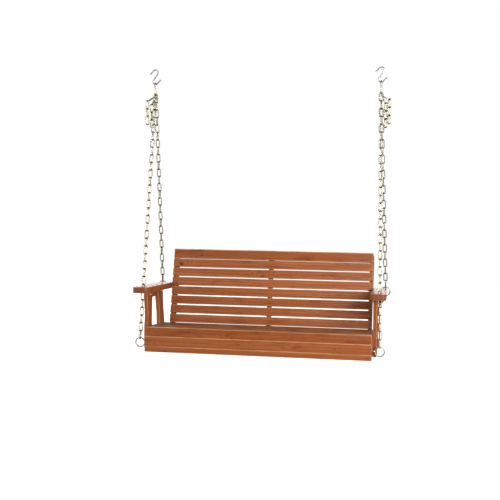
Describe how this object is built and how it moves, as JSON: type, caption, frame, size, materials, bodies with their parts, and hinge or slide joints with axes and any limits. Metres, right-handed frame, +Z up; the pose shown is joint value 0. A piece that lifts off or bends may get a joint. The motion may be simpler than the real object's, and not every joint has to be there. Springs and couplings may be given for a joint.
{
  "type": "porch swing seat",
  "caption": "Slatted wooden porch swing bench with flat arms, hung on four chains that gather at top links and S-hooks",
  "frame": {"origin": "midway between the bearing points of the two S-hooks, inside the top of their upper bends, where the swing hangs", "axes": "+Z up, +X to the right of someone facing the seat, +Y towards the back"},
  "size_m": [1.338, 0.5751, 1.5048],
  "materials": {
    "wood": "satin",
    "zinc_hardware": "satin",
    "steel_hooks": "satin"
  },
  "bodies": {
    "hooks": {"s_hook_left": "steel_hooks", "s_hook_right": "steel_hooks"},
    "swing": {"apron_board_bottom": "wood", "apron_board_middle": "wood", "apron_board_top": "wood", "side_board_left": "wood", "side_board_right": "wood", "centre_bearer": "wood", "seat_slat_1": "wood", "seat_slat_2": "wood", "seat_slat_3": "wood", "seat_slat_4": "wood", "seat_slat_5": "wood", "seat_slat_6": "wood", "seat_slat_7": "wood", "back_slat_1": "wood", "back_slat_2": "wood", "back_slat_3": "wood", "back_slat_4": "wood", "back_slat_5": "wood", "back_slat_6": "wood", "back_slat_7": "wood", "back_slat_8": "wood", "back_upright_left": "wood", "back_upright_centre": "wood", "back_upright_right": "wood", "arm_left": "wood", "arm_right": "wood", "arm_post_front_left": "wood", "arm_post_front_right": "wood", "arm_post_rear_left": "wood", "arm_post_rear_right": "wood", "arm_rail_left": "wood", "arm_rail_right": "wood", "eye_bolt_front_left": "zinc_hardware", "eye_bolt_front_right": "zinc_hardware", "eye_bolt_rear_left": "zinc_hardware", "eye_bolt_rear_right": "zinc_hardware", "washer_front_left": "zinc_hardware", "washer_front_right": "zinc_hardware", "washer_rear_left": "zinc_hardware", "washer_rear_right": "zinc_hardware", "nut_front_left": "zinc_hardware", "nut_front_right": "zinc_hardware", "nut_rear_left": "zinc_hardware", "nut_rear_right": "zinc_hardware", "nut_rear_outer_left": "zinc_hardware", "nut_rear_outer_right": "zinc_hardware", "chain_front_left": "zinc_hardware", "chain_front_right": "zinc_hardware", "chain_rear_left": "zinc_hardware", "chain_rear_right": "zinc_hardware", "top_link_left": "steel_hooks", "top_link_right": "steel_hooks"},
    "chain_tail_front_left": {"chain_tail_front_left": "zinc_hardware"},
    "chain_tail_front_right": {"chain_tail_front_right": "zinc_hardware"},
    "chain_tail_rear_left": {"chain_tail_rear_left": "zinc_hardware"},
    "chain_tail_rear_right": {"chain_tail_rear_right": "zinc_hardware"}
  },
  "joints": [
    {"name": "swing_pivot", "type": "hinge", "parent": "hooks", "child": "swing", "pos_m": [0, 0, -0.0745], "axis": [1, 0, 0], "range_deg": [-28, 28]},
    {"name": "chain_tail_front_left_sway", "type": "hinge", "parent": "swing", "child": "chain_tail_front_left", "pos_m": [-0.655, -0.012, -0.1607], "axis": [1, 0, 0], "range_deg": [-18, 18]},
    {"name": "chain_tail_front_right_sway", "type": "hinge", "parent": "swing", "child": "chain_tail_front_right", "pos_m": [0.655, -0.012, -0.1607], "axis": [1, 0, 0], "range_deg": [-18, 18]},
    {"name": "chain_tail_rear_left_sway", "type": "hinge", "parent": "swing", "child": "chain_tail_rear_left", "pos_m": [-0.636, 0.01, -0.1787], "axis": [1, 0, 0], "range_deg": [-18, 18]},
    {"name": "chain_tail_rear_right_sway", "type": "hinge", "parent": "swing", "child": "chain_tail_rear_right", "pos_m": [0.636, 0.01, -0.1787], "axis": [1, 0, 0], "range_deg": [-18, 18]}
  ]
}
